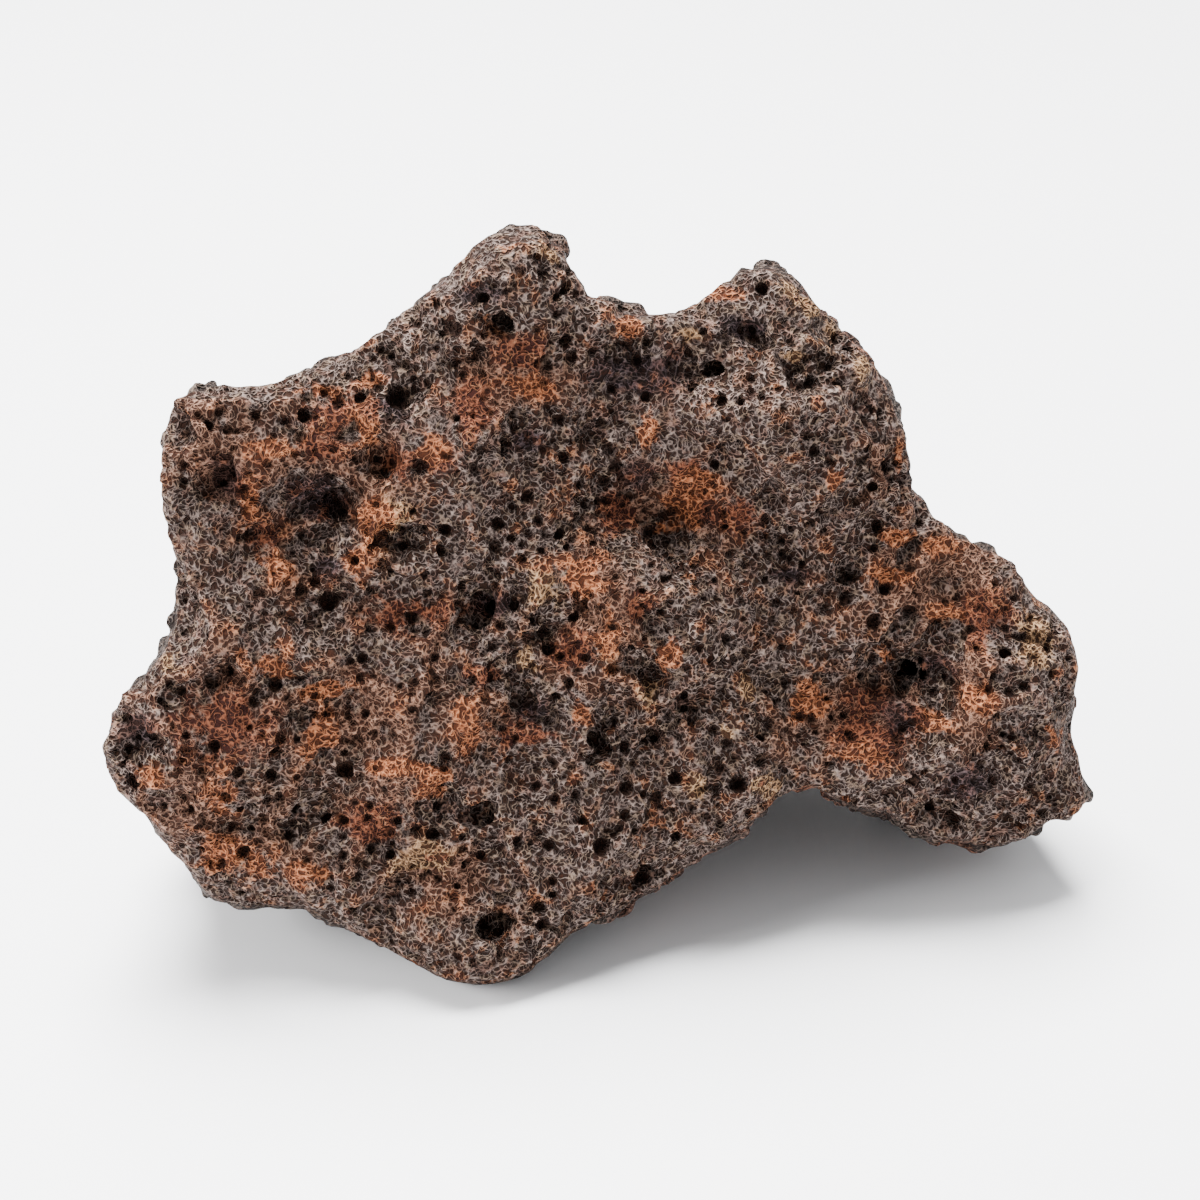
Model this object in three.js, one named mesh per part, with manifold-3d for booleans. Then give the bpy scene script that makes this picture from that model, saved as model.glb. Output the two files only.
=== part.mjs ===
// A vesicular impactite: one loose piece of frothy impact-melt rock, 60 mm across.
// It stands on three worn spots of its underside, with its broken face leaning back.
// Millimetres. +X runs right along the face, +Y away from it and +Z up. The origin lies on
// the surface that the stone stands on, below the middle of its box.
//
// The form is a field: how deep a point lies in the stone. A ball's skin is shrunk onto the
// field's zero, and broken-out bubbles are cut into the solid that it closes.
// Two frames are used. The standing frame has its origin at the front foot. The face's frame
// is across (right), up (along the leaning face) and out (square to it, towards the front).
import * as THREE from "three";
import { ImprovedNoise } from "three/addons/math/ImprovedNoise.js";
import { mergeVertices } from "three/addons/utils/BufferGeometryUtils.js";
import Module from "manifold-3d";

const wasm = await Module();
wasm.setup();

// ---- Driving dimensions ----
const FRAME_LEAN = THREE.MathUtils.degToRad(30); // how far the face's frame leans back
const FOOT = { across: -6.3, up: -24.1 }; // the front foot, from the middle of the face
const RIM_RISE = 0.2; // the rim comes forward this much for each mm up the face
const RIM_TURN = -0.2; // and goes back this much for each mm to the right
const FACE_SWELL = 2.2; // how far the face stands out before the rim
const WALL_TAPER = 0.1; // how fast the stone narrows behind its rim
const WALL_EDGE = [2, 9]; // how far behind the rim the taper starts and the walls are all rough
const EDGE_ROUNDING = 2.8; // width of the rounding between face, walls and fracture planes
const HEART_OUT = -5; // a point deep in the stone, behind the middle of the face
const KNOB_WIDTH = 1.2; // each knob's width over its depth
const KNOB_WEAR = 0.35; // how much of each knob's bottom is worn flat
const SKIN_DETAIL = 15; // splits along each edge of the icosahedron that becomes the skin
const SKIN_STRETCH = new THREE.Vector3(1.7, 1, 1.35); // its shape before it is shrunk on
const SKIN_ROUNDS = 30; // how many times the skin's corners are spread out evenly
const SKIN_PULL = 0.8; // how far each corner goes on its way each time
const GROUND_SIZE = [200, 60]; // width and depth of the slab that cuts the knobs flat

// Lumps all over, round on top and creased between, each layer as [wavelength, height].
const ROUGHNESS = [
  [12, 2.6],
  [5.2, 2.2],
];
const CREASE = 0.25; // how much of a lump's height lies below the stone's surface

// The rim, clockwise from the left peak, as [across, up] from the middle of the face.
const RIM = [
  [-4.8, 22.1], [-2.8, 21.9], [-2.0, 20.6], [-1.4, 18.4], [0.4, 17.8], [2.4, 17.3],
  [5.0, 16.8], [6.1, 18.2], [9.4, 20.3], [10.5, 20.4], [12.6, 18.2], [14.4, 17.4],
  [15.0, 16.1], [17.0, 14.3], [17.9, 12.3], [18.9, 9.4], [18.9, 7.6], [19.6, 5.9],
  [23.2, 3.5], [25.8, 2.5], [26.6, 0.9], [28.3, -0.2], [29.8, -2.2], [30.6, -4.9],
  [30.0, -8.2], [30.8, -10.4], [31.6, -11.8], [31.1, -14.1], [29.3, -14.4], [26.4, -16.1],
  [22.0, -15.8], [19.6, -14.2], [16.9, -13.4], [15.0, -12.7], [11.7, -10.8], [11.1, -12.4],
  [9.3, -14.1], [6.3, -16.3], [3.2, -18.2], [1.7, -19.7], [-1.4, -21.3], [-3.6, -21.9],
  [-5.0, -23.0], [-6.9, -23.9], [-10.6, -23.4], [-13.9, -21.3], [-15.9, -21.1], [-17.3, -19.5],
  [-22.5, -19.2], [-24.7, -18.7], [-26.0, -16.2], [-28.6, -12.3], [-29.8, -10.4], [-29.6, -7.9],
  [-28.1, -5.2], [-25.2, -2.0], [-25.5, -0.5], [-25.0, 1.5], [-25.5, 3.6], [-25.6, 6.8],
  [-25.7, 9.1], [-25.1, 11.4], [-23.7, 12.3], [-21.4, 12.6], [-18.9, 12.6], [-17.0, 13.9],
  [-14.7, 14.7], [-13.8, 14.7], [-12.3, 16.6], [-10.1, 18.0], [-8.1, 20.1], [-6.3, 21.6],
];

// Where the rim leaves its plane: [across, up, half-width, half-height, how far it comes out].
const RIM_BENDS = [
  [-25, -19, 9, 8, -4.2],
  [26, -14, 8, 6, -1.6],
];

// Domes (+) and dents (-) of the face: [across, up, half-width, half-height, rise].
const FACE_FORMS = [
  [11.6, 10.4, 6.4, 5.4, 2.6], // broad dome under the right peak
  [4.6, 6.0, 4.6, 2.8, -2.8], // rusty dent left of and below the dome
  [3.4, 13.2, 4.5, 2.6, -1.4],
  [-5.0, 17.6, 4.2, 4.6, 1.0], // left peak
  [9.8, 17.4, 2.6, 2.4, 0.9], // right peak
  [-17.4, 5.4, 3.4, 3.2, -2.2], // square dent with a ridge to its right
  [-13.0, 4.6, 1.5, 4.4, 1.7],
  [-16.4, -0.6, 3.0, 1.7, -1.4],
  [-24.2, -9.0, 4.6, 5.6, 1.2], // stained step at the lower left
  [-16.5, -16.4, 5.0, 1.8, 1.0],
  [-2.0, 0.4, 3.6, 3.0, 1.2],
  [-6.2, -0.6, 2.2, 1.8, -1.6],
  [6.5, -3.0, 5.0, 4.0, 1.1],
  [18.9, -4.6, 3.4, 2.2, -3.2], // dark dent before the right lobe
  [13.8, -7.4, 3.6, 3.2, -2.2],
  [24.6, -8.6, 4.4, 5.4, 2.4], // right lobe
];

// The fracture planes behind and below, in the standing frame: [way out of the stone, a point].
const FRACTURES = [
  [[0.03, 0.04, -1], [0, 6, 1.0]], // underside
  [[-0.5, 0.25, -1], [-16, 10, 2.0]], // undercut below the left end
  [[0.35, -0.1, -1], [33, 14, 0.8]], // undercut below the right lobe
  [[0.02, 1, -0.16], [0, 27.5, 8]], // lower back
  [[-0.05, 1, 0.4], [0, 30, 16]], // upper back
  [[-0.9, 1, 0.2], [-15, 24, 12]], // left back
  [[0.8, 1, 0.25], [28, 25, 10]], // right back
];

// Lumps (+) and dents (-) out of the face's sight: [x, y, z, radius, rise].
const BACK_FORMS = [
  [4, 26, 22, 8, 2.6],
  [-9, 24, 10, 6, 1.8],
  [14, 24, 8, 6, 1.8],
  [-6, 24, 28, 6, -2.0],
  [19, 20, 22, 6, -2.2],
  [9, 20, 34, 4, -1.6],
  [-17, 16, 20, 5, 1.6],
  [2, 27, 12, 4, -2.0],
  [30, 18, 8, 5, 1.4],
  [8, 12, 2, 6, -1.6],
];

// Knobs of the underside that touch the ground: [x, y, radius].
const KNOBS = [
  [-1.2, 1.8, 3.2],
  [-12.5, 22.0, 4.0],
  [28.0, 19.5, 3.6],
];

// Open bubbles of the face: [across, up, radius, how deep the centre lies].
const FACE_BUBBLES = [
  [-25.0, 9.9, 1.75, 0.4],
  [-28.0, -8.0, 1.8, 0.4],
  [-22.3, 6.9, 1.6, 0.0],
  [-22.1, -4.6, 0.95, 0.4],
  [-12.7, 8.4, 1.4, 0.4],
  [-6.1, 16.2, 1.15, 0.3],
  [-8.0, 18.0, 1.3, -0.3],
  [-4.7, -2.2, 0.9, 0.3],
  [-6.9, -0.4, 1.2, 0.3],
  [-4.6, -6.5, 1.1, 0.2],
  [0.0, -8.9, 1.0, 0.3],
  [3.7, -4.9, 1.15, 0.2],
  [-7.3, -12.9, 0.9, 0.2],
  [-6.2, -20.0, 1.6, 0.4],
  [7.2, 14.1, 0.95, 0.2],
  [9.3, 15.6, 1.2, 0.0],
  [-15.5, 5.6, 1.2, 0.0],
  [19.6, -4.4, 1.9, 0.0],
  [24.2, -9.0, 0.9, 0.2],
  [21.2, -13.4, 1.0, 0.2],
  [17.3, 8.1, 0.9, 0.2],
];
const SCATTER = { count: 17, least: 1.0, most: 2.6, seed: 11 }; // bubbles of all the rest
const FACE_SIGHT = 0.2; // a way out of the heart this much towards the front meets the face
const LARGE_BUBBLE = 1.7; // a bubble's ball has more faces from this radius

// ---- Frames ----
const ACROSS = new THREE.Vector3(1, 0, 0);
const UP = new THREE.Vector3(0, Math.sin(FRAME_LEAN), Math.cos(FRAME_LEAN));
const OUT = new THREE.Vector3(0, -Math.cos(FRAME_LEAN), Math.sin(FRAME_LEAN));

// A point of the face's frame, in the standing frame.
function standing(across, up, out) {
  return new THREE.Vector3()
    .addScaledVector(ACROSS, across - FOOT.across)
    .addScaledVector(UP, up - FOOT.up)
    .addScaledVector(OUT, out);
}

const heart = standing(0, 0, HEART_OUT);

// A point of the standing frame, in the face's frame.
function onFace(p) {
  return [FOOT.across + p.dot(ACROSS), FOOT.up + p.dot(UP), p.dot(OUT)];
}

// ---- The field ----
// The smaller of two depths, with the corner where they are alike rounded off.
function softMin(a, b) {
  const near = Math.max(1 - Math.abs(a - b) / EDGE_ROUNDING, 0);
  return Math.min(a, b) - (near * near * EDGE_ROUNDING) / 4;
}

const softMax = (a, b) => -softMin(-a, -b);

// Sum of round swellings at (x, y), each [x, y, half-width, half-height, rise].
function swellings(list, x, y) {
  return list.reduce(
    (sum, [cx, cy, wide, high, rise]) =>
      sum + rise * Math.exp(-(((x - cx) / wide) ** 2) - ((y - cy) / high) ** 2),
    0,
  );
}

const noise = new ImprovedNoise();

function roughness(p) {
  return ROUGHNESS.reduce((sum, [wave, height]) => {
    const swing = noise.noise(p.x / wave + wave, p.y / wave, p.z / wave - wave);
    return sum + height * (Math.abs(swing) - CREASE);
  }, 0);
}

const rimCurve = new THREE.CatmullRomCurve3(
  RIM.map(([x, y]) => new THREE.Vector3(x, y, 0)),
  true,
  "centripetal",
);
const rimPoints = rimCurve.getPoints(2 * RIM.length);

// How far inside the rim a point of the face's plane lies.
function insideRim(x, y) {
  let nearest = Infinity;
  let within = false;
  for (let k = 1; k < rimPoints.length; k += 1) {
    const [a, b] = [rimPoints[k - 1], rimPoints[k]];
    const [dx, dy] = [b.x - a.x, b.y - a.y];
    const along = ((x - a.x) * dx + (y - a.y) * dy) / (dx * dx + dy * dy);
    const share = THREE.MathUtils.clamp(along, 0, 1);
    nearest = Math.min(nearest, Math.hypot(x - a.x - share * dx, y - a.y - share * dy));
    if (a.y > y !== b.y > y && x < a.x + ((y - a.y) / dy) * dx) within = !within;
  }
  return within ? nearest : -nearest;
}

const rimOut = (across, up) =>
  RIM_RISE * (up - FOOT.up) +
  RIM_TURN * (across - FOOT.across) +
  swellings(RIM_BENDS, across, up);

const fractures = FRACTURES.map(([way, point]) => {
  const normal = new THREE.Vector3(...way).normalize();
  return { normal, reach: normal.dot(new THREE.Vector3(...point)) };
});

function backForms(p) {
  return BACK_FORMS.reduce((sum, [x, y, z, radius, rise]) => {
    const off = (p.x - x) ** 2 + (p.y - y) ** 2 + (p.z - z) ** 2;
    return sum + rise * Math.exp(-off / radius ** 2);
  }, 0);
}

// How deep a point of the standing frame lies in the stone, negative outside it.
function depth(p) {
  const [across, up, out] = onFace(p);
  const behind = rimOut(across, up) - out;
  const rough = roughness(p);
  const narrowing = WALL_TAPER * Math.max(behind - WALL_EDGE[0], 0);
  const wallRough = rough * THREE.MathUtils.smoothstep(behind, ...WALL_EDGE);
  const wall = insideRim(across, up) - narrowing + wallRough;
  const face = behind + FACE_SWELL + swellings(FACE_FORMS, across, up) + rough;
  const rest = fractures.reduce(
    (least, { normal, reach }) => softMin(least, reach - normal.dot(p) + rough),
    Infinity,
  );
  const stone = softMin(softMin(wall, face), rest + backForms(p));
  return KNOBS.reduce((whole, [x, y, radius]) => {
    const [dx, dy, dz] = [(p.x - x) / KNOB_WIDTH, p.y - y, p.z - radius + KNOB_WEAR];
    return softMax(whole, radius - Math.hypot(dx, dy, dz));
  }, stone);
}

// Moves a point along the field's steepest way to where the depth is nothing.
function settle(p) {
  const step = 0.05;
  const leastSlope = 0.2;
  const here = depth(p);
  const inward = new THREE.Vector3(
    depth(new THREE.Vector3(p.x + step, p.y, p.z)) - here,
    depth(new THREE.Vector3(p.x, p.y + step, p.z)) - here,
    depth(new THREE.Vector3(p.x, p.y, p.z + step)) - here,
  ).divideScalar(step);
  return p.addScaledVector(inward, -here / Math.max(inward.lengthSq(), leastSlope));
}

// The outermost point of the stone on the ray from a point inside it, found by halving.
function surfaceOn(centre, way) {
  const [farthest, stride, halvings] = [60, 0.5, 12];
  const depthAt = (reach) => depth(centre.clone().addScaledVector(way, reach));
  let near = farthest;
  while (near > 0 && depthAt(near) < 0) near -= stride;
  let far = near + stride;
  for (let k = 0; k < halvings; k += 1) {
    const middle = (near + far) / 2;
    if (depthAt(middle) < 0) far = middle;
    else near = middle;
  }
  return centre.clone().addScaledVector(way, near);
}

// ---- The skin ----
// Only the places of a geometry's corners, with the corners that triangles share made one.
function welded(geometry) {
  const bare = new THREE.BufferGeometry();
  bare.setAttribute("position", geometry.getAttribute("position").clone());
  if (geometry.index) bare.setIndex(geometry.index.clone());
  return mergeVertices(bare, 1e-4);
}

// A ball shrunk onto the stone. Its corners then slide along the surface towards the larger
// triangles around them, until all the triangles are about one size.
function skin() {
  const ball = welded(new THREE.IcosahedronGeometry(1, SKIN_DETAIL));
  const places = ball.attributes.position;
  const corners = ball.index.array;
  const points = Array.from({ length: places.count }, (_, k) => {
    const way = new THREE.Vector3().fromBufferAttribute(places, k).multiply(SKIN_STRETCH);
    return surfaceOn(heart, way.normalize());
  });
  const triangle = new THREE.Triangle();
  for (let round = 0; round < SKIN_ROUNDS; round += 1) {
    const pulls = points.map(() => ({ sum: new THREE.Vector3(), area: 0 }));
    for (let k = 0; k < corners.length; k += 3) {
      const around = [corners[k], corners[k + 1], corners[k + 2]];
      triangle.set(...around.map((n) => points[n]));
      const middle = triangle.getMidpoint(new THREE.Vector3());
      const area = triangle.getArea();
      for (const n of around) {
        pulls[n].sum.addScaledVector(middle, area);
        pulls[n].area += area;
      }
    }
    points.forEach((p, k) => settle(p.lerp(pulls[k].sum.divideScalar(pulls[k].area), SKIN_PULL)));
  }
  points.forEach((p, k) => places.setXYZ(k, p.x, p.y, p.z));
  return ball;
}

// ---- Solids ----
function solidOf(geometry) {
  const { attributes, index } = welded(geometry);
  return new wasm.Manifold(
    new wasm.Mesh({
      numProp: 3,
      vertProperties: attributes.position.array,
      triVerts: new Uint32Array(index.array),
    }),
  );
}

function geometryOf(solid) {
  const { vertProperties, triVerts } = solid.getMesh();
  const geometry = new THREE.BufferGeometry();
  geometry.setAttribute("position", new THREE.BufferAttribute(vertProperties, 3));
  geometry.setIndex(new THREE.BufferAttribute(triVerts, 1));
  return geometry;
}

function ground() {
  const [width, thickness] = GROUND_SIZE;
  const slab = new THREE.BoxGeometry(width, width, thickness);
  slab.translate(0, 0, -thickness / 2);
  return solidOf(slab);
}

function bubble(centre, radius) {
  const ball = new THREE.IcosahedronGeometry(radius, radius > LARGE_BUBBLE ? 2 : 1);
  ball.rotateX(centre.x);
  ball.translate(centre.x, centre.y, centre.z);
  return solidOf(ball);
}

function faceBubbles() {
  return FACE_BUBBLES.map(([across, up, radius, deep]) => {
    const place = surfaceOn(standing(across, up, HEART_OUT), OUT);
    return bubble(place.addScaledVector(OUT, -deep), radius);
  });
}

// Evenly mixed numbers from 0 to 1, the same in every run.
function mixer(seed) {
  const [factor, prime] = [16807, 2147483647];
  let state = seed;
  return () => {
    state = (state * factor) % prime;
    return state / prime;
  };
}

// Bubbles behind, above and below, which leave the face to its own.
function scatteredBubbles() {
  const next = mixer(SCATTER.seed);
  const hollows = [];
  while (hollows.length < SCATTER.count) {
    const way = new THREE.Vector3(next() - 0.5, next() - 0.5, next() - 0.5).normalize();
    const radius = SCATTER.least + (SCATTER.most - SCATTER.least) * next() ** 2;
    if (way.dot(OUT) < FACE_SIGHT) hollows.push(bubble(surfaceOn(heart, way), radius));
  }
  return hollows;
}

// The largest of a solid's loose pieces.
function main(solid) {
  return solid.decompose().reduce((a, b) => (b.volume() > a.volume() ? b : a));
}

function stone() {
  let solid = solidOf(skin());
  for (const hollow of [...faceBubbles(), ...scatteredBubbles()]) solid = solid.subtract(hollow);
  return main(solid.subtract(ground()));
}

// ---- The part ----
const geometry = geometryOf(stone());
geometry.computeBoundingBox();
const { min, max } = geometry.boundingBox;

const mesh = new THREE.Mesh(
  geometry,
  new THREE.MeshStandardMaterial({ color: 0x604b42, roughness: 0.9, metalness: 0 }),
);
mesh.name = "impactite_stone";
mesh.position.set(-(min.x + max.x) / 2, -(min.y + max.y) / 2, -min.z);

const part = new THREE.Group();
part.add(mesh);
export default part;
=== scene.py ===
"""A vesicular impactite on a pale floor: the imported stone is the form, and its froth is made here.

Sizes are in millimetres, and are turned into metres where a mesh, a light or the camera is made.
The stone's broken face leans back. Places on it are shares of the stone's spread seen square to
that face: (0, 0) is the lower left corner of that view, and (1, 1) the upper right one.
"""

import bpy
import numpy as np
import openvdb
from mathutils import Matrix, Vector
from mathutils.kdtree import KDTree


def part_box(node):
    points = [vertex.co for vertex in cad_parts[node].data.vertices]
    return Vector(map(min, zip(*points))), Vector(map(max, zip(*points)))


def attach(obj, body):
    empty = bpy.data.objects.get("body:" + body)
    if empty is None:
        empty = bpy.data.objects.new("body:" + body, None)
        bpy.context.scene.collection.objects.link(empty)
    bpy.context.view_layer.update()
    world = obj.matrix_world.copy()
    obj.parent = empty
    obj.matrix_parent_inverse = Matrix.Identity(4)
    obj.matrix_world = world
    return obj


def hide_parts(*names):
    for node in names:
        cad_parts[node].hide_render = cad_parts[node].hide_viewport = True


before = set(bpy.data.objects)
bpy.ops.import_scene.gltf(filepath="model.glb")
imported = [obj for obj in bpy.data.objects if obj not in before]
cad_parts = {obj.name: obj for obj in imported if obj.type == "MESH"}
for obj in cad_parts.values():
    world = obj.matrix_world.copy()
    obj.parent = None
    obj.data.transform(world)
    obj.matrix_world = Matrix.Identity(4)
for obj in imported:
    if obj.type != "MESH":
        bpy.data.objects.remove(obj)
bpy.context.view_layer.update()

MM = 0.001
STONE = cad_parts["impactite_stone"]
LOW, HIGH = (np.array(corner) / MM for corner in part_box("impactite_stone"))
SIZE = HIGH - LOW

# ---- The broken face and its axes ----
LEAN = np.radians(30)  # how far the face leans back from upright
ACROSS = np.array([1, 0, 0])
RISE = np.array([0, np.sin(LEAN), np.cos(LEAN)])
OUT = np.array([0, -np.cos(LEAN), np.sin(LEAN)])

# ---- Driving sizes of the froth ----
COARSE = 0.26  # spacing of the points that the form is worked out on
FINENESS = 2  # how many points of the froth lie on each coarse spacing
BAND = 2.4  # how far from the surface depths are kept
FACET_BLUR = 0.24  # how softly the CAD solid's facets are melted together
# The relief's waves: length, and height on the face and on the skin.
RELIEF = [(5.5, 0.42, 0.3), (2.4, 0.2, 0.22), (1.1, 0.07, 0.1)]
GROUNDED = 2.5  # the relief fades out over this height above the ground
CLUMPS = 5.0  # how far apart the crowds of bubbles are
LIP = 0.11  # how softly two hollows meet
WARP = (0.9, 0.1)  # dents of the bubbles' walls: wavelength, and depth in radii
FLATNESS = 0.25  # how much the faces of the froth's surface may grow where it is flat
FACES = 196_000

# Bubbles by size: radius, tries, and how many of the tries on the face and on the skin are kept.
BUBBLES = [
    (0.95, 30, 0.25, 0.6),
    (0.72, 120, 0.25, 0.5),
    (0.54, 700, 0.22, 0.35),
    (0.42, 4000, 0.34, 0.25),
    (0.33, 14000, 0.55, 0.15),
    (0.26, 40000, 0.7, 0.1),
]
SUNK = (0.0, 0.8)  # how deep a bubble's centre lies below the surface, in radii
CROWDING = 0.95  # the least distance of two bubbles' centres, in sums of radii
STAINED_BUBBLES = 0.25  # how many bubbles are left where the froth is filled with rust
SIZE_SPREAD = (0.85, 1.15)  # the least and the most that a bubble's radius is multiplied by
HOLE_SUNK = 0.6  # how deep the centre of a named hole lies, in radii
# The chance of a bubble in the crowds and between them: middle, swing, least, and sharpness.
CROWD = (0.45, 0.55, 0.05, 1.5)

# Balls that finish the corners, the first being the small knob beside the right lobe: places
# across, back and up as shares of the box, and radii.
KNOBS = (
    (0.973, 0.4, 0.15, 1.4),
    (0.434, 0.59, 0.935, 1.25),
    (0.651, 0.64, 0.884, 1.1),
    (0.712, 0.655, 0.806, 1.0),
)
GROWTH = 0.12  # makes up for what the melting takes off the corners
BROAD = 0.9  # how far the melting reaches that shows which way a place faces
FACING = (2.2, 0.3)  # a place's facing is its cosine to the face's way times the first, less the second
WAVE_BAND = 0.18  # how wide the band of wavelengths of a smooth noise is
SLOPE_REACH = 0.5  # over what reach the way into the stone is taken
NEARBY = 0.4  # how far around a named place the skin is searched
# The next size sets the painted shade of hollows, and the one after it the painted shade and highlight that
# follow how much stone lies around.
PIT_DEPTH = 1.2  # how deep a place lies below the unbubbled surface to be fully dark
THICKNESS_REACH = 0.32  # over what reach the stone's thickness around a place is taken

# The flat map for baking holds the six sides of the box next to each other: which ways go
# right and up on each, and where its corner lies, in mm of a square of MAP_SIDE.
MAP_SIDE = 126
SIDES = (
    ((1, 0, 0), (0, 0, 1), (0, 0)),
    ((-1, 0, 0), (0, 0, 1), (63, 0)),
    ((1, 0, 0), (0, 1, 0), (0, 46)),
    ((-1, 0, 0), (0, 1, 0), (63, 46)),
    ((0, 1, 0), (0, 0, 1), (0, 80.5)),
    ((0, -1, 0), (0, 0, 1), (34.5, 80.5)),
)

# Round holes on the face: place as shares across and up, and radius.
HOLES = [
    (0.41, 0.47, 0.6),
    (0.46, 0.50, 0.6),
    (0.37, 0.68, 0.4),
    (0.42, 0.65, 0.5),
    (0.33, 0.41, 0.5),
    (0.32, 0.43, 0.5),
    (0.38, 0.40, 0.4),
    (0.20, 0.52, 0.5),
    (0.22, 0.51, 0.65),
    (0.37, 0.24, 0.5),
    (0.23, 0.29, 0.6),
    (0.16, 0.74, 0.35),
    (0.21, 0.75, 0.5),
    (0.15, 0.75, 0.5),
    (0.26, 0.44, 0.4),
    (0.28, 0.49, 0.4),
    (0.19, 0.24, 0.4),
    (0.50, 0.42, 0.45),
    (0.51, 0.37, 0.55),
    (0.62, 0.28, 0.65),
    (0.65, 0.30, 0.5),
    (0.66, 0.35, 0.6),
    (0.76, 0.48, 0.55),
    (0.84, 0.21, 0.65),
    (0.88, 0.33, 0.45),
    (0.71, 0.69, 0.4),
    (0.77, 0.69, 0.55),
    (0.34, 0.85, 0.6),
    (0.41, 0.92, 0.45),
    (0.50, 0.68, 0.5),
]
# Rows of small holes: first place, last place, number of holes and radius.
HOLE_ROWS = [
    ((0.19, 0.39), (0.17, 0.29), 5, 0.45),
    ((0.17, 0.29), (0.17, 0.25), 3, 0.45),
    ((0.14, 0.27), (0.15, 0.21), 5, 0.4),
]
# Patches on the face: place as shares across and up, then reach across and reach up. The orange, red and tan
# ones are stains, with a painted highlight among the tan ones, and the basins' ones are painted shade.
ORANGE = [
    (0.05, 0.29, 0.9, 1.1),
    (0.12, 0.26, 1.2, 1.4),
    (0.11, 0.19, 1.5, 1.2),
    (0.15, 0.17, 1.1, 0.7),
    (0.20, 0.16, 1.6, 0.6),
    (0.17, 0.43, 1.7, 1.0),
    (0.22, 0.40, 1.7, 0.7),
    (0.21, 0.34, 1.1, 1.6),
    (0.28, 0.30, 2.0, 0.6),
    (0.32, 0.28, 1.0, 1.1),
    (0.35, 0.36, 0.8, 1.7),
    (0.17, 0.56, 1.3, 1.0),
    (0.27, 0.80, 1.0, 0.7),
    (0.22, 0.78, 1.2, 0.6),
    (0.26, 0.74, 0.8, 1.3),
    (0.17, 0.71, 1.8, 0.6),
    (0.15, 0.65, 0.6, 1.5),
    (0.27, 0.62, 1.1, 1.6),
    (0.25, 0.57, 0.9, 1.0),
    (0.33, 0.71, 1.1, 0.8),
    (0.42, 0.79, 1.2, 0.7),
    (0.51, 0.87, 1.0, 0.8),
    (0.61, 0.91, 1.1, 0.7),
    (0.53, 0.74, 0.6, 1.1),
    (0.57, 0.64, 1.7, 1.6),
    (0.58, 0.67, 1.2, 0.9),
    (0.55, 0.61, 1.6, 0.6),
    (0.46, 0.54, 1.4, 1.4),
    (0.49, 0.46, 0.9, 1.5),
    (0.55, 0.45, 0.8, 1.1),
    (0.71, 0.67, 0.7, 0.6),
    (0.78, 0.60, 1.4, 0.6),
    (0.82, 0.59, 1.2, 0.5),
    (0.77, 0.55, 1.3, 0.7),
    (0.69, 0.38, 1.3, 1.3),
    (0.74, 0.31, 1.4, 0.7),
    (0.82, 0.36, 1.0, 1.1),
    (0.86, 0.39, 1.1, 1.1),
    (0.83, 0.50, 1.1, 0.7),
    (0.78, 0.44, 1.1, 0.5),
    (0.78, 0.72, 0.5, 1.8),
    (0.94, 0.33, 0.6, 0.8),
    (0.46, 0.37, 0.7, 0.6),
]
RED = [
    (0.12, 0.36, 3.0, 2.3),
    (0.26, 0.22, 2.2, 1.4),
    (0.30, 0.50, 2.8, 1.1),
    (0.23, 0.75, 1.4, 1.5),
    (0.22, 0.71, 1.8, 0.7),
    (0.29, 0.69, 1.0, 1.1),
    (0.33, 0.70, 1.2, 0.9),
    (0.41, 0.83, 1.8, 0.9),
    (0.36, 0.76, 1.3, 1.7),
    (0.50, 0.63, 1.1, 1.2),
    (0.62, 0.63, 1.2, 1.1),
    (0.46, 0.45, 1.5, 1.3),
    (0.37, 0.42, 1.4, 0.6),
    (0.41, 0.34, 1.9, 0.8),
    (0.87, 0.49, 1.8, 1.7),
    (0.75, 0.33, 2.2, 1.6),
    (0.75, 0.38, 1.3, 0.9),
    (0.52, 0.51, 0.9, 1.0),
    (0.16, 0.59, 1.0, 1.1),
    (0.57, 0.68, 1.4, 0.9),
]
TAN_AND_HIGHLIGHT = [
    (0.28, 0.62, 1.1, 1.6),
    (0.43, 0.53, 1.2, 1.1),
    (0.41, 0.44, 0.7, 0.9),
    (0.49, 0.45, 0.7, 1.0),
    # From here on, the spots high on the right peak are tan stain and a painted highlight along its right
    # edge.
    (0.67, 0.92, 0.7, 1.0),
    (0.69, 0.90, 0.8, 1.2),
    (0.71, 0.87, 0.8, 1.1),
    (0.74, 0.82, 0.6, 1.0),
    (0.30, 0.18, 1.9, 1.0),
    (0.67, 0.83, 1.0, 0.4),
    (0.57, 0.86, 0.7, 0.4),
    (0.53, 0.40, 0.5, 0.9),
    (0.63, 0.40, 0.5, 0.8),
    (0.65, 0.27, 1.0, 0.8),
    (0.58, 0.27, 0.5, 0.9),
    (0.44, 0.96, 0.8, 0.8),
    (0.61, 0.34, 0.5, 0.6),
    (0.07, 0.44, 1.0, 0.6),
    (0.92, 0.46, 1.3, 1.5),
]
# The face's basins, darkened with painted shade.
SHADED_BASINS = [
    (0.52, 0.81, 3.0, 1.6),
    (0.62, 0.87, 1.8, 1.0),
    (0.82, 0.42, 1.5, 1.1),
    (0.04, 0.35, 1.2, 1.3),
    (0.13, 0.67, 1.2, 1.2),
    (0.21, 0.65, 2.0, 1.3),
    (0.29, 0.76, 1.2, 1.2),
    (0.22, 0.56, 1.2, 0.7),
    (0.59, 0.63, 0.6, 0.9),
    (0.67, 0.55, 1.2, 0.5),
    (0.37, 0.90, 1.4, 0.6),
    (0.52, 0.68, 1.1, 0.9),
    (0.38, 0.51, 1.4, 0.8),
    (0.42, 0.37, 1.2, 0.8),
    (0.78, 0.36, 1.4, 1.3),
    (0.86, 0.27, 2.2, 1.2),
    (0.41, 0.72, 1.2, 0.8),
]
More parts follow.
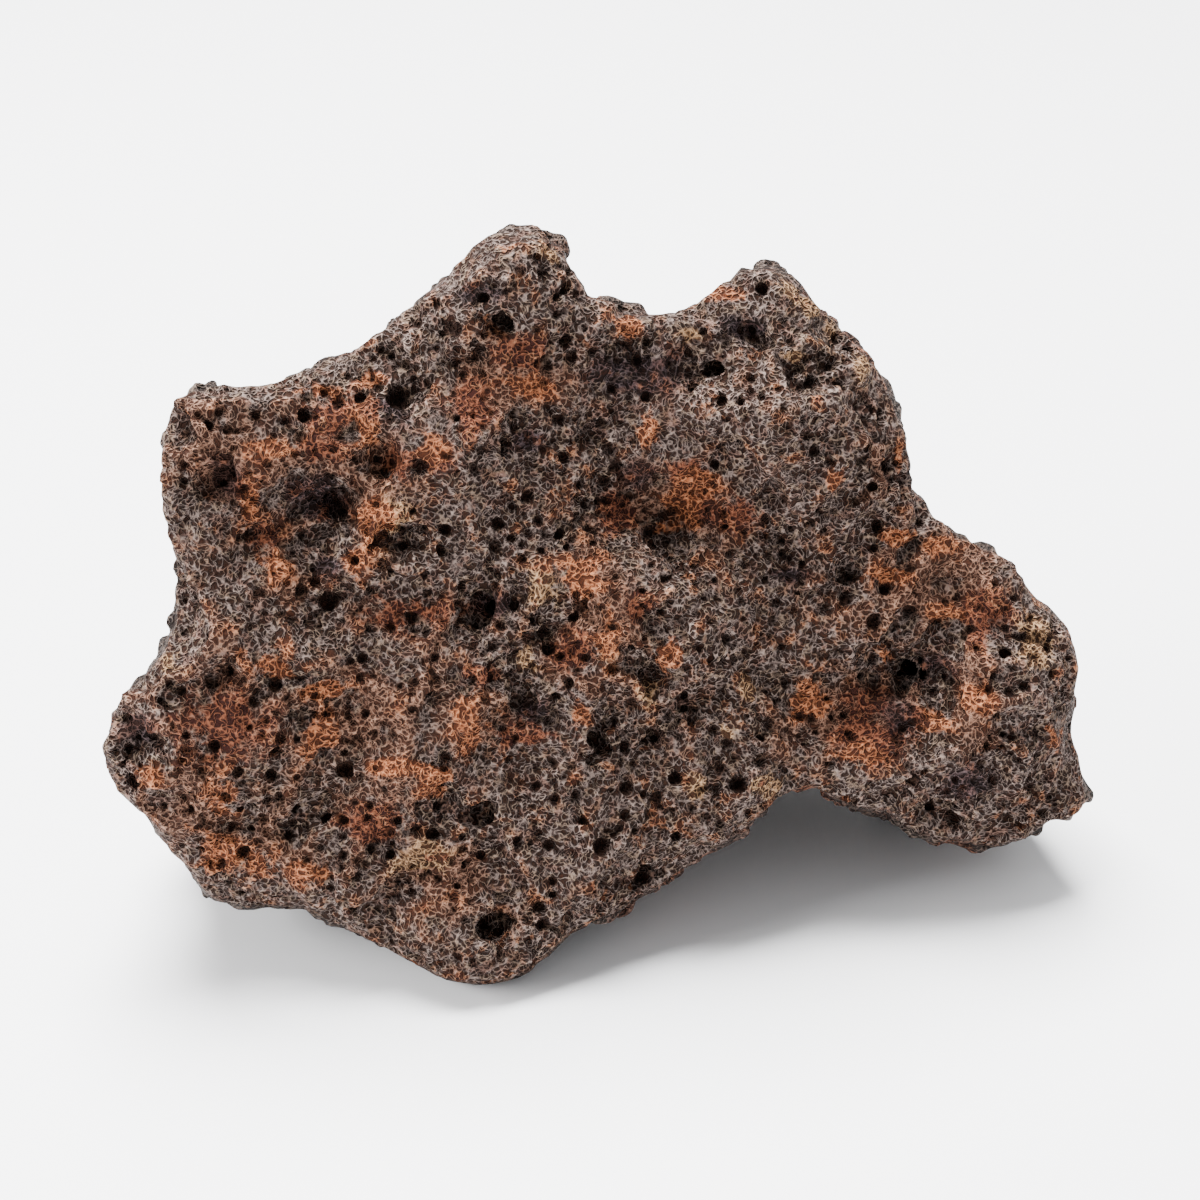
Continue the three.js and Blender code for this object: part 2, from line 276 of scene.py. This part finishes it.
# The wide zones where much of the froth has turned salmon-brown.
SALMON = [
    (0.15, 0.71, 6.0, 2.4),
    (0.27, 0.65, 1.8, 4.2),
    (0.12, 0.38, 4.6, 3.6),
    (0.10, 0.25, 3.8, 3.6),
    (0.24, 0.34, 4.6, 4.8),
    (0.23, 0.18, 5.8, 1.6),
    (0.34, 0.37, 2.4, 3.0),
    (0.48, 0.49, 3.4, 4.6),
    (0.40, 0.80, 3.2, 2.2),
    (0.56, 0.64, 3.6, 2.2),
    (0.72, 0.36, 4.0, 2.8),
    (0.82, 0.53, 4.6, 3.8),
    (0.85, 0.38, 3.0, 3.0),
    (0.17, 0.57, 3.0, 2.4),
    (0.77, 0.76, 2.0, 5.2),
    (0.32, 0.15, 4.8, 1.8),
    (0.30, 0.50, 3.8, 1.6),
]


# ---- The froth: fields on a grid of points in space ----
class Field:
    """Values on a cubic grid of points: the first point's place, the spacing, and the values."""

    def __init__(self, origin, step, values):
        self.origin = origin
        self.step = step
        self.values = values

    def at(self, points):
        """The value at any place: the eight grid points around it, each weighted by its nearness."""
        places = (points - self.origin) / self.step
        base = np.clip(np.floor(places).astype(int), 0, np.array(self.values.shape) - 2)
        share = np.clip(places - base, 0, 1)
        total = 0
        for corner in np.ndindex(2, 2, 2):
            weight = np.prod(np.where(corner, share, 1 - share), axis=1)
            total = total + weight * self.values[tuple((base + corner).T)]
        return total

    def inward(self, points, reach):
        """The unit way in which the value rises fastest, from differences over a reach."""
        ways = np.eye(3) * reach
        slopes = np.stack([self.at(points + way) - self.at(points - way) for way in ways], axis=1)
        return slopes / np.maximum(np.linalg.norm(slopes, axis=1, keepdims=True), 1e-6)

    def finer(self):
        """The same field with a point added half-way between each two neighbours."""
        values = self.values
        for axis in range(3):
            values = np.moveaxis(values, axis, 0)
            doubled = np.empty((2 * len(values) - 1, *values.shape[1:]), np.float32)
            doubled[::2] = values
            doubled[1::2] = (values[1:] + values[:-1]) / 2
            values = np.moveaxis(doubled, 0, axis)
        return Field(self.origin, self.step / 2, np.ascontiguousarray(values))

    def heights(self):
        """How high above the ground each layer of points is, shaped to go with the values."""
        return (self.origin[2] + self.step * np.arange(self.values.shape[2], dtype=np.float32))[None, None, :]


def welded_stone():
    """The CAD stone's corners and triangles, with each shared corner made one."""
    mesh = STONE.data
    places = np.empty(len(mesh.vertices) * 3, np.float32)
    mesh.vertices.foreach_get("co", places)
    corners = np.empty(len(mesh.loops), np.int32)
    mesh.loops.foreach_get("vertex_index", corners)
    points = np.round(places.reshape(-1, 3) / MM, 4)
    unique, order = np.unique(points, axis=0, return_inverse=True)
    return unique.astype(np.float32), order.reshape(-1)[corners].reshape(-1, 3).astype(np.uint32)


def solid_depth():
    """How deep each grid point lies in the CAD stone, negative outside it."""
    points, triangles = welded_stone()
    grid = openvdb.FloatGrid.createLevelSetFromPolygons(
        points,
        triangles=triangles,
        transform=openvdb.createLinearTransform(voxelSize=COARSE),
        halfWidth=BAND / COARSE,
    )
    low, high = (np.array(corner) for corner in grid.evalActiveVoxelBoundingBox())
    values = np.empty(tuple(high - low + 1), np.float32)
    grid.copyToArray(values, ijk=tuple(int(n) for n in low))
    return Field(low * COARSE, COARSE, -values)


def with_knobs(field):
    """The depth of the stone with balls joined to it: the largest of its depth and theirs."""
    depth = field.values
    for across, back, up, radius in KNOBS:
        sides = zip(field.values.shape, field.origin, LOW + SIZE * (across, back, up))
        x, y, z = (
            np.arange(count, dtype=np.float32) * field.step + (origin - middle)
            for count, origin, middle in sides
        )
        away = np.sqrt(x[:, None, None] ** 2 + y[None, :, None] ** 2 + z[None, None, :] ** 2)
        depth = np.maximum(depth, radius - away)
    return Field(field.origin, field.step, depth.astype(np.float32))


def wave_lengths(field):
    """The length of each Fourier wave of a field's grid."""
    *sides, last = field.values.shape
    rates = [np.fft.fftfreq(n, field.step) for n in sides] + [np.fft.rfftfreq(last, field.step)]
    x, y, z = np.meshgrid(*rates, indexing="ij", sparse=True)
    return 1 / np.sqrt(np.maximum(x**2 + y**2 + z**2, 1e-6))


def filtered(values, strength):
    """The grid with each of its Fourier waves made stronger or weaker."""
    return np.fft.irfftn(np.fft.rfftn(values) * strength, s=values.shape).astype(np.float32)


def blurred(values, lengths, width):
    """The grid melted with a bell of the given width."""
    return filtered(values, np.exp(-2 * (np.pi * width / lengths) ** 2))


def facing_of(field):
    """How much the way out of a depth field is the face's way: 1 squarely, and 0 sideways or away."""
    slopes = np.gradient(field.values)
    outward = -sum(slope * way for slope, way in zip(slopes, OUT) if way)
    steepness = np.sqrt(sum(slope * slope for slope in slopes)) + 1e-6
    gain, start = FACING
    facing = np.clip(outward / steepness * gain - start, 0, 1)
    return Field(field.origin, field.step, facing.astype(np.float32))


class Form:
    """The stone without its bubbles, and what is known of each point of space around its surface.

    The CAD stone's facets are melted. On the face, round hollows have sharp ridges between them:
    the depth grows by height * (0.8 - |n|), n being smooth noise. The skin has it the other way
    up, as round lumps with creases between them.
    """

    def __init__(self, rng):
        solid = with_knobs(solid_depth())
        self.shape = solid.values.shape
        self.lengths = wave_lengths(solid)
        depth = blurred(solid.values, self.lengths, FACET_BLUR) + GROWTH
        self.broad = self.field(solid, blurred(solid.values, self.lengths, BROAD))
        self.facing = facing_of(self.broad)
        fade = np.clip(solid.heights() / GROUNDED, 0, 1)
        ridges = []
        for wavelength, on_face, on_skin in RELIEF:
            swing = self.swings(rng, wavelength)
            ridges.append(0.8 - np.minimum(np.abs(swing), 2))
            tall = self.facing.values * (on_face + on_skin) - on_skin
            depth += fade * tall * ridges[-1]
        self.depth = self.field(solid, depth)
        self.ridge = self.field(solid, ridges[0] + 0.5 * ridges[1])
        self.dents = self.field(solid, self.swings(rng, WARP[0]))
        self.clumps = self.field(solid, self.swings(rng, CLUMPS))

    def field(self, like, values):
        return Field(like.origin, like.step, values)

    def swings(self, rng, wavelength):
        """Smooth noise: white noise that keeps the waves near one length, scaled to a spread of 1."""
        strength = np.exp(-(np.log(self.lengths / wavelength) ** 2) / WAVE_BAND)
        noise = filtered(rng.standard_normal(self.shape, dtype=np.float32), strength)
        return noise / noise.std()


def surface_of(field, flatness=0.0):
    """The surface where a field passes nothing: its corners, and its faces as triangles.

    With some flatness, the faces grow where the surface is flat.
    """
    grid = openvdb.FloatGrid(BAND)
    grid.copyFromArray(-field.values)
    points, triangles, squares = grid.convertToPolygons(isovalue=0.0, adaptivity=flatness)
    halves = [triangles.reshape(-1, 3), squares[:, [0, 1, 2]], squares[:, [0, 2, 3]]]
    return points * field.step + field.origin, np.vstack(halves)


# ---- What lies where on the face ----
class Face:
    """The broken face: places on it, and how much there is of each stain and of each patch of painted light
    and shade.
    """

    def __init__(self, form, skin):
        self.form = form
        self.skin = skin
        views = np.stack([skin @ ACROSS, skin @ RISE], axis=1)
        self.low = views.min(axis=0)
        self.spread = np.ptp(views, axis=0)

    def seen(self, points):
        """Places as seen square to the face, in mm from the lower left corner of that view."""
        return np.stack([points @ ACROSS, points @ RISE], axis=1) - self.low

    def place(self, across, up):
        """The corner of the skin at a place on the face: of those near it, the one furthest out."""
        away = np.linalg.norm(self.seen(self.skin) - self.spread * (across, up), axis=1)
        near = self.skin[away < NEARBY]
        return near[(near @ OUT).argmax()]

    def stain(self, points, spots):
        """How much of a listed patch there is, a stain on most lists and painted shade on the basins' list:
        bells around the spots, the strongest one counting.
        """
        seen = self.seen(points)
        amount = np.zeros(len(points))
        for across, up, reach_across, reach_up in spots:
            away = (seen - self.spread * (across, up)) / (reach_across, reach_up)
            amount = np.maximum(amount, np.exp(-(away**2).sum(axis=1)))
        return amount * self.form.facing.at(points)


# ---- Bubbles ----
def named_holes(face):
    """Centres and radii of the face's own holes, each sunk by a share of its radius."""
    holes = [(face.place(across, up), radius) for across, up, radius in HOLES]
    for first, last, count, radius in HOLE_ROWS:
        row = np.linspace(first, last, count)
        holes += [(face.place(across, up), radius) for across, up in row]
    places = np.array([place for place, _ in holes])
    radii = np.array([radius for _, radius in holes])
    return places + face.form.depth.inward(places, SLOPE_REACH) * radii[:, None] * HOLE_SUNK, radii


def tried_bubbles(rng, face):
    """Random corners of the skin, sunk in by a share of a radius, the large sizes first."""
    stained = np.maximum(face.stain(face.skin, ORANGE), face.stain(face.skin, TAN_AND_HIGHLIGHT))
    facing = face.form.facing.at(face.skin)
    middle, swing, least, sharpness = CROWD
    crowd = np.clip(middle + swing * face.form.clumps.at(face.skin), least, 1) ** sharpness
    for radius, tries, on_face, on_skin in BUBBLES:
        found = rng.integers(len(face.skin), size=tries)
        chance = on_skin + (on_face - on_skin) * facing[found]
        chance = chance * crowd[found] * (1 - (1 - STAINED_BUBBLES) * stained[found])
        places = face.skin[found[rng.random(tries) < chance]]
        sizes = radius * rng.uniform(*SIZE_SPREAD, len(places))
        sunk = sizes * rng.uniform(*SUNK, len(places))
        yield places + face.form.depth.inward(places, SLOPE_REACH) * sunk[:, None], sizes


def place_bubbles(rng, face):
    """Centres and radii of all bubbles: a try is kept where it is clear of all kept before it."""
    groups = [named_holes(face), *tried_bubbles(rng, face)]
    centres = np.vstack([places for places, _ in groups])
    radii = np.concatenate([sizes for _, sizes in groups])
    tree = KDTree(len(centres))
    for number, centre in enumerate(centres):
        tree.insert(centre, number)
    tree.balance()
    kept = np.zeros(len(centres), bool)
    largest = radii.max()
    for number, (centre, radius) in enumerate(zip(centres, radii)):
        kept[number] = not any(
            kept[other] and away < CROWDING * (radius + radii[other])
            for _, other, away in tree.find_range(centre, radius + largest)
        )
    return centres[kept], radii[kept]


def carve(form, dents, centres, radii):
    """The depth with the bubbles taken out of it.

    Inside the block around each bubble, a point's depth becomes the smaller of its own and its
    distance from the bubble's wall. The wall swells and shrinks with the dents, and the two depths
    blend over the lip's width, so that rims are worn round.
    """
    depth = form.values.copy()
    shape = np.array(depth.shape)
    for centre, radius in zip(centres, radii):
        reach = radius * (1 + 4 * WARP[1]) + LIP + form.step
        first = np.maximum(np.floor((centre - reach - form.origin) / form.step).astype(int), 0)
        last = np.minimum(np.ceil((centre + reach - form.origin) / form.step).astype(int), shape)
        block = tuple(map(slice, first, last))
        x, y, z = (
            np.arange(start, stop, dtype=np.float32) * form.step + (origin - middle)
            for start, stop, origin, middle in zip(first, last, form.origin, centre)
        )
        away = np.sqrt(x[:, None, None] ** 2 + y[None, :, None] ** 2 + z[None, None, :] ** 2)
        wall = away - radius * (1 + WARP[1] * dents.values[block])
        here = depth[block]
        blend = np.maximum(LIP - np.abs(here - wall), 0)
        depth[block] = np.minimum(here, wall) - blend * blend / (4 * LIP)
    worn = Field(form.origin, form.step, softened(depth))
    return Field(form.origin, form.step, np.minimum(worn.values, worn.heights()))


def softened(values):
    """Each value averaged with its neighbours along each axis, with weights 1, 2 and 1."""
    for axis in range(3):
        values = np.moveaxis(values, axis, 0)
        soft = values.copy()
        soft[1:-1] = (values[:-2] + 2 * values[1:-1] + values[2:]) / 4
        values = np.moveaxis(soft, 0, axis)
    return np.ascontiguousarray(values)


# ---- The mesh ----
def main_piece(triangles, count):
    """Which corners belong to the largest joined piece: loose crumbs and sealed bubbles don't.

    Each corner starts as a label of its own, and takes the least label of the faces around it
    until nothing changes.
    """
    labels = np.arange(count)
    settled = False
    while not settled:
        least = labels[triangles].min(axis=1)
        lower = labels.copy()
        for side in triangles.T:
            np.minimum.at(lower, side, least)
        lower = lower[lower]
        settled = np.array_equal(lower, labels)
        labels = lower
    return labels == np.bincount(labels).argmax()


def stone_object(froth):
    """The froth's surface as an object, without the loose bits inside it."""
    points, triangles = surface_of(froth, FLATNESS)
    kept = main_piece(triangles, len(points))
    triangles = (np.cumsum(kept) - 1)[triangles[kept[triangles[:, 0]]]]
    mesh = bpy.data.meshes.new("impactite")
    mesh.from_pydata(points[kept] * MM, [], triangles)
    stone = bpy.data.objects.new("impactite", mesh)
    bpy.context.scene.collection.objects.link(stone)
    return stone


def corners_of(mesh):
    """A mesh's corners in mm."""
    places = np.empty(len(mesh.vertices) * 3, np.float32)
    mesh.vertices.foreach_get("co", places)
    return places.reshape(-1, 3) / MM


def thin(stone):
    """Brings the mesh down to its number of triangles, flat places first."""
    fewer = stone.modifiers.new("fewer", "DECIMATE")
    fewer.ratio = FACES / len(stone.data.polygons)
    bpy.context.view_layer.objects.active = stone
    bpy.ops.object.modifier_apply(modifier=fewer.name)


def lay_flat(mesh, form):
    """The map for baking: each triangle lies flat on the side of the box that the form faces there."""
    corners = np.empty(len(mesh.loops), np.int32)
    mesh.loops.foreach_get("vertex_index", corners)
    triangles = corners.reshape(-1, 3)
    points = corners_of(mesh)
    ways = np.array([np.cross(right, up) for right, up, _ in SIDES])
    outward = -form.broad.inward(points[triangles].mean(axis=1), BROAD)
    side = np.argmax(outward @ ways.T, axis=1)
    flat = np.empty((len(triangles), 3, 2), np.float32)
    for number, (right, up, corner) in enumerate(SIDES):
        spread = points @ np.array([right, up], np.float32).T
        spread += np.array(corner) - spread.min(axis=0)
        here = side == number
        flat[here] = spread[triangles[here]] / MAP_SIDE
    layer = mesh.uv_layers.new(name="OFBake")
    layer.data.foreach_set("uv", flat.reshape(-1))


def add_tones(mesh, name, *amounts):
    """Stores three amounts at each corner, as the red, green and blue of a named colour."""
    layer = mesh.attributes.new(name, "FLOAT_COLOR", "POINT")
    tones = np.stack([*amounts, np.ones(len(amounts[0]))], axis=1).astype(np.float32)
    layer.data.foreach_set("color", tones.reshape(-1))


def tone(mesh, face, froth):
    """Stores at each corner the stains and patches of painted light and shade, and where it lies in the
    relief and in the froth, from which the material paints shade and highlight.
    """
    form = face.form
    points = corners_of(mesh)
    add_tones(mesh, "rust", *(face.stain(points, spots) for spots in (ORANGE, RED, TAN_AND_HIGHLIGHT)))
    # How deep below the unbubbled surface a place lies sets the painted shade of hollows.
    pit = np.clip(form.depth.at(points) / PIT_DEPTH, 0, 1)
    add_tones(mesh, "relief", pit, form.facing.at(points), face.stain(points, SHADED_BASINS))
    # How much stone lies around a place sets painted shade where it is closed in and a painted highlight
    # where it stands out.
    coarse = froth.values[::FINENESS, ::FINENESS, ::FINENESS]
    solid = blurred(np.clip(coarse / COARSE + 0.5, 0, 1), form.lengths, THICKNESS_REACH)
    thick = Field(froth.origin, COARSE, solid).at(points)
    ridge = np.clip(0.5 + 0.5 * form.ridge.at(points), 0, 1)
    add_tones(mesh, "shape", ridge, np.clip(thick, 0, 1), face.stain(points, SALMON))


# ---- Materials ----
class Value:
    """A number, place or colour that a material's nodes work out, for use in Python expressions."""

    def __init__(self, finish, socket):
        self.finish = finish
        self.socket = socket

    def __add__(self, other):
        return self.finish.maths("ADD", self, other)

    def __radd__(self, other):
        return self.finish.maths("ADD", other, self)

    def __sub__(self, other):
        return self.finish.maths("SUBTRACT", self, other)

    def __rsub__(self, other):
        return self.finish.maths("SUBTRACT", other, self)

    def __mul__(self, other):
        return self.finish.maths("MULTIPLY", self, other)

    def __rmul__(self, other):
        return self.finish.maths("MULTIPLY", other, self)

    def at_most(self, other):
        return self.finish.maths("MINIMUM", self, other)

    def at_least(self, other):
        return self.finish.maths("MAXIMUM", self, other)

    def size(self):
        return self.finish.maths("ABSOLUTE", self)

    def rise(self, low, high):
        """0 up to the low value, 1 from the high one on, and a smooth step between them."""
        settings = {"interpolation_type": "SMOOTHSTEP"}
        sockets = {"Value": self, "From Min": low, "From Max": high}
        return self.finish.node("ShaderNodeMapRange", settings, sockets)


class Finish:
    """A material, and one way to add any node to it."""

    def __init__(self, name):
        self.material = bpy.data.materials.new(name)
        self.material.use_nodes = True
        self.tree = self.material.node_tree
        self.shader = self.tree.nodes["Principled BSDF"]

    def set(self, socket, value):
        """Links a worked-out value to a socket, or sets it to a plain one."""
        if isinstance(value, Value):
            self.tree.links.new(value.socket, socket)
        else:
            socket.default_value = value

    def node(self, kind, settings, sockets, output=0):
        """Adds a node: its settings first, then its sockets. Returns one of its outputs."""
        node = self.tree.nodes.new(kind)
        for name, setting in settings.items():
            setattr(node, name, setting)
        for name, value in sockets.items():
            self.set(node.inputs[name], value)
        return Value(self, node.outputs[output])

    def maths(self, operation, *values):
        return self.node("ShaderNodeMath", {"operation": operation}, dict(enumerate(values)))

    def vectors(self, operation, sockets):
        return self.node("ShaderNodeVectorMath", {"operation": operation}, sockets)

    def blend(self, share, first, second, how="MIX"):
        """The first colour where the share is 0, and the second where it is 1."""
        settings = {"data_type": "RGBA", "blend_type": how}
        return self.node("ShaderNodeMix", settings, {0: share, 6: first, 7: second}, output=2)

    def tones(self, name):
        """The three amounts of a colour that the mesh carries."""
        stored = self.node("ShaderNodeAttribute", {"attribute_name": name}, {}, output="Color")
        apart = self.node("ShaderNodeSeparateColor", {}, {"Color": stored}, output="Red")
        return [self.output_of(apart, name) for name in ("Red", "Green", "Blue")]

    def noise(self, place, wavelength, detail=2.0, rough=0.5, output=0):
        sockets = {"Vector": place, "Scale": 1 / wavelength, "Detail": detail, "Roughness": rough}
        return self.node("ShaderNodeTexNoise", {}, sockets, output)

    def output_of(self, value, name):
        """Another output of the node that a value comes from."""
        return Value(self, value.socket.node.outputs[name])


# How far apart the walls of the finest cells are, about: three sets of them.
NET_PITCHES = (0.43, 0.39, 0.27)
NET_SHIFT = (17.3, 9.1, 4.7)  # how far each set's noise is moved from the one before
STIR = (0.35, 0.2)  # the noise that bends the walls: wavelength and reach
SPECK_LENGTH = 0.33  # wavelengths of the noises that vary the walls, the froth and the stains
CLOUD_LENGTH = 1.5
DRIFT_LENGTH = 3.6
TINT_LENGTH = 0.7
RUST_LENGTH = 7
# Colours of the stone, as linear red, green and blue: cells, whose dark colour is painted shade in pores that
# only the bump makes, their slopes and their walls.
PIT_SHADE, BODY, WALL = (0.016, 0.0065, 0.0035, 1), (0.061, 0.0415, 0.036, 1), (0.272, 0.204, 0.174, 1)
ORANGE_PIT_SHADE, ORANGE_BODY = (0.045, 0.012, 0.004, 1), (0.195, 0.056, 0.0215, 1)
ORANGE_WALL = (0.47, 0.2, 0.095, 1)
RED_PIT_SHADE, RED_BODY, RED_WALL = (0.022, 0.005, 0.003, 1), (0.1, 0.028, 0.013, 1), (0.25, 0.098, 0.052, 1)
SALMON_PIT_SHADE, SALMON_BODY = (0.028, 0.009, 0.004, 1), (0.1, 0.044, 0.027, 1)
SALMON_WALL = (0.285, 0.165, 0.112, 1)
TAN_PIT_SHADE, TAN_BODY, TAN_WALL = (0.03, 0.012, 0.005, 1), (0.18, 0.092, 0.044, 1), (0.5, 0.32, 0.18, 1)
SKIN_PIT_SHADE, SKIN_BODY, SKIN_WALL = (0.006, 0.004, 0.0035, 1), (0.035, 0.026, 0.022, 1), (0.09, 0.068, 0.056, 1)
# Tints that the colours are multiplied by; the last one is painted shade over the face's basins.
OLIVE = (1.0, 0.94, 0.8, 1)
RUSSET = (1.0, 0.8, 0.72, 1)
BASIN_SHADE = (0.4, 0.37, 0.45, 1)
# Painted shade for the inside of bubbles and hollows, and for places closed in by stone.
DEEP_SHADE = (0.015, 0.005, 0.0025, 1)


def melt_rock():
    """Froth of thin pale walls round cells in painted shade, rust in patches, and darker skin round the back.

    The walls of the finest cells run where any of three smooth noises passes its middle value.
    Each colour goes from its wall to its pit as the noises move away from there; the dark pit is painted
    shade in pores that only the bump makes. More painted shade darkens the bubbles, hollows, places closed in
    by stone and the face's basins, and a painted highlight makes the walls paler on thin, outstanding parts
    and along the right peak's edge.
    """
    finish = Finish("melt_rock")
    metres = finish.node("ShaderNodeTexCoord", {}, {}, output="Object")
    place = finish.vectors("SCALE", {0: metres, "Scale": 1 / MM})
    orange, red, tan_and_highlight = finish.tones("rust")
    hollow_shade, facing, dark = finish.tones("relief")
    ridge, thick, salmon = finish.tones("shape")

    stir_length, stir_reach = STIR
    stir = finish.noise(place, stir_length, 0, output="Color")
    stir = finish.vectors("SUBTRACT", {0: stir, 1: (0.5, 0.5, 0.5)})
    stir = finish.vectors("SCALE", {0: stir, "Scale": stir_reach})
    stirred = finish.vectors("ADD", {0: place, 1: stir})
    gaps = []
    for number, pitch in enumerate(NET_PITCHES):
        shift = tuple(number * step for step in NET_SHIFT)
        aside = finish.vectors("ADD", {0: stirred, 1: shift})
        gaps.append((finish.noise(aside, pitch, 0) - 0.5).size())
    speck = finish.noise(place, SPECK_LENGTH, 2, 0.6)
    cloud = finish.noise(place, CLOUD_LENGTH, 4, 0.7)
    drift = finish.noise(place, DRIFT_LENGTH, 2, 0.6)
    gap = gaps[0].at_most(gaps[1]).at_most(gaps[2] + cloud.rise(0.35, 0.6) * 0.12)
    gap = gap * (0.7 + cloud * 0.6)

    # Painted highlight and shade: the pale walls grow where little stone lies around and shrink where much
    # does.
    edge_light = 1.25 - thick.rise(0.3, 0.5) * 0.5
    wall = (1 - gap.rise(0.0, 0.06)) * (speck * 1.5 - 0.15).at_least(0.15) * edge_light
    wall = (wall * (cloud.rise(0.3, 0.62) * 0.5 + 0.6)).at_most(1)
    # The open cells take the pit colour, a painted shade.
    shaded_cell = gap.rise(0.03, 0.12)

    def froth(pit, body, top):
        """A froth's colour: pit, a painted shade, in the open cells, body on their slopes, and top on the
        walls.
        """
        return finish.blend(wall, finish.blend(shaded_cell, body, pit), top)

    mottle = (cloud - 0.5) * 2.6 + (ridge - 0.5) * 0.5

    def patch(amount, least, fade):
        """A patch's share, of a stain or of the basins' painted shade: its bell with the mottle added, from
        the least sum on.
        """
        return (amount + mottle).rise(least, least + fade)

    colour = froth(PIT_SHADE, BODY, WALL)
    tint = finish.noise(place, TINT_LENGTH, 2, output="Color")
    tint = finish.node("ShaderNodeSeparateColor", {}, {"Color": tint}, output="Red")
    colour = finish.blend(tint.rise(0.48, 0.6), colour, OLIVE, "MULTIPLY")
    colour = finish.blend(finish.output_of(tint, "Green").rise(0.5, 0.62), colour, RUSSET, "MULTIPLY")
    veil = (1 - drift).rise(0.4, 0.65) * 0.25
    flush = salmon * 0.95 + veil + mottle * 0.7 + (ridge - 0.5) * 0.6
    colour = finish.blend(flush.rise(0.3, 0.85), colour, froth(SALMON_PIT_SHADE, SALMON_BODY, SALMON_WALL))
    colour = finish.blend(patch(red, 0.2, 0.5), colour, froth(RED_PIT_SHADE, RED_BODY, RED_WALL))
    # The tan patches also paint a highlight along the right peak's edge.
    colour = finish.blend(patch(tan_and_highlight, 0.25, 0.4), colour, froth(TAN_PIT_SHADE, TAN_BODY, TAN_WALL))
    colour = finish.blend(patch(orange, 0.25, 0.4), colour, froth(ORANGE_PIT_SHADE, ORANGE_BODY, ORANGE_WALL))
    # Painted shade multiplied in over the face's basins.
    colour = finish.blend(patch(dark, 0.2, 0.6), colour, BASIN_SHADE, "MULTIPLY")
    bare = 1 - (facing + (cloud - 0.5) * 0.8).rise(0.2, 0.5)
    colour = finish.blend(bare * 0.75, colour, froth(SKIN_PIT_SHADE, SKIN_BODY, SKIN_WALL))
    rusty = finish.noise(place, RUST_LENGTH, 3, 0.65) + mottle * 0.09
    colour = finish.blend(rusty.rise(0.48, 0.64) * bare * 0.6, colour, froth(RED_PIT_SHADE, RED_BODY, RED_WALL))
    colour = finish.blend(rusty.rise(0.56, 0.68) * bare * 0.5, colour, froth(PIT_SHADE, ORANGE_BODY, ORANGE_WALL))
    # Painted shade where much stone closes in around a place.
    colour = finish.blend(thick.rise(0.53, 0.75) * 0.8, colour, DEEP_SHADE)
    # Painted shade in bubbles and hollows, the deeper below the unbubbled surface the darker.
    colour = finish.blend(hollow_shade.rise(0.25, 0.7) * (0.5 + drift.rise(0.4, 0.6) * 0.4), colour, DEEP_SHADE)
    finish.set(finish.shader.inputs["Base Color"], colour)
    finish.set(finish.shader.inputs["Roughness"], 0.9 - bare * 0.25)
    finish.shader.inputs["Specular IOR Level"].default_value = 0.12

    height = speck * 0.3 - gap.rise(0.0, 0.16)
    bump = {"Height": height, "Distance": 0.35 * MM, "Strength": 1.0}
    finish.set(finish.shader.inputs["Normal"], finish.node("ShaderNodeBump", {}, bump))
    return finish.material


# ---- Camera, floor and light ----
CAMERA_AWAY = 173  # how far the camera stands from what it looks at
CAMERA_AIM = (-0.85, -5.83, 0.54)  # what it looks at, from the middle of the stone's box
FLOOR_HALF = 1.5  # half the floor's side, in metres


def camera():
    eye = bpy.data.cameras.new("camera")
    eye.lens = 85
    eye.sensor_width = 36
    eye.clip_start = 0.01
    view = bpy.data.objects.new("camera", eye)
    middle = Vector((LOW + HIGH) / 2 + CAMERA_AIM)
    view.location = (middle + Vector(OUT) * CAMERA_AWAY) * MM
    view.rotation_euler = Vector(-OUT).to_track_quat("-Z", "Y").to_euler()
    bpy.context.scene.collection.objects.link(view)
    bpy.context.scene.camera = view


def floor():
    half = FLOOR_HALF
    mesh = bpy.data.meshes.new("floor")
    corners = [(-half, -half, 0), (half, -half, 0), (half, half, 0), (-half, half, 0)]
    mesh.from_pydata(corners, [], [(0, 1, 2, 3)])
    ground = bpy.data.objects.new("floor", mesh)
    bpy.context.scene.collection.objects.link(ground)
    finish = Finish("pale_floor")
    finish.shader.inputs["Base Color"].default_value = (0.93, 0.93, 0.94, 1)
    finish.shader.inputs["Roughness"].default_value = 0.35
    ground.data.materials.append(finish.material)


def lamp(name, place, side, energy):
    """A square soft lamp that looks at the stone."""
    glow = bpy.data.lights.new(name, "AREA")
    glow.shape = "SQUARE"
    glow.size = side
    glow.energy = energy
    stand = bpy.data.objects.new(name, glow)
    stand.location = place
    aim = Vector((0, 0, 0.02)) - stand.location
    stand.rotation_euler = aim.to_track_quat("-Z", "Y").to_euler()
    bpy.context.scene.collection.objects.link(stand)


def light():
    lamp("overhead", (-0.05, 0.1, 0.45), 0.3, 15)
    lamp("low_left", (-0.35, -0.1, 0.15), 0.2, 3)
    world = bpy.data.worlds.new("room")
    world.use_nodes = True
    world.node_tree.nodes["Background"].inputs["Color"].default_value = (0.97, 0.98, 1, 1)
    world.node_tree.nodes["Background"].inputs["Strength"].default_value = 0.8
    bpy.context.scene.world = world


def impactite():
    """The whole stone: form, bubbles, mesh, stored tones and material."""
    rng = np.random.default_rng(7)
    form = Form(rng)
    face = Face(form, surface_of(form.depth)[0])
    centres, radii = place_bubbles(rng, face)
    depth, dents = form.depth, form.dents
    for _ in range(FINENESS - 1):
        depth, dents = depth.finer(), dents.finer()
    froth = carve(depth, dents, centres, radii)
    stone = stone_object(froth)
    thin(stone)
    tone(stone.data, face, froth)
    lay_flat(stone.data, form)
    stone.data.shade_smooth()
    stone.data.materials.append(melt_rock())
    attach(stone, "root")
    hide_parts("impactite_stone")


camera()
impactite()
floor()
light()
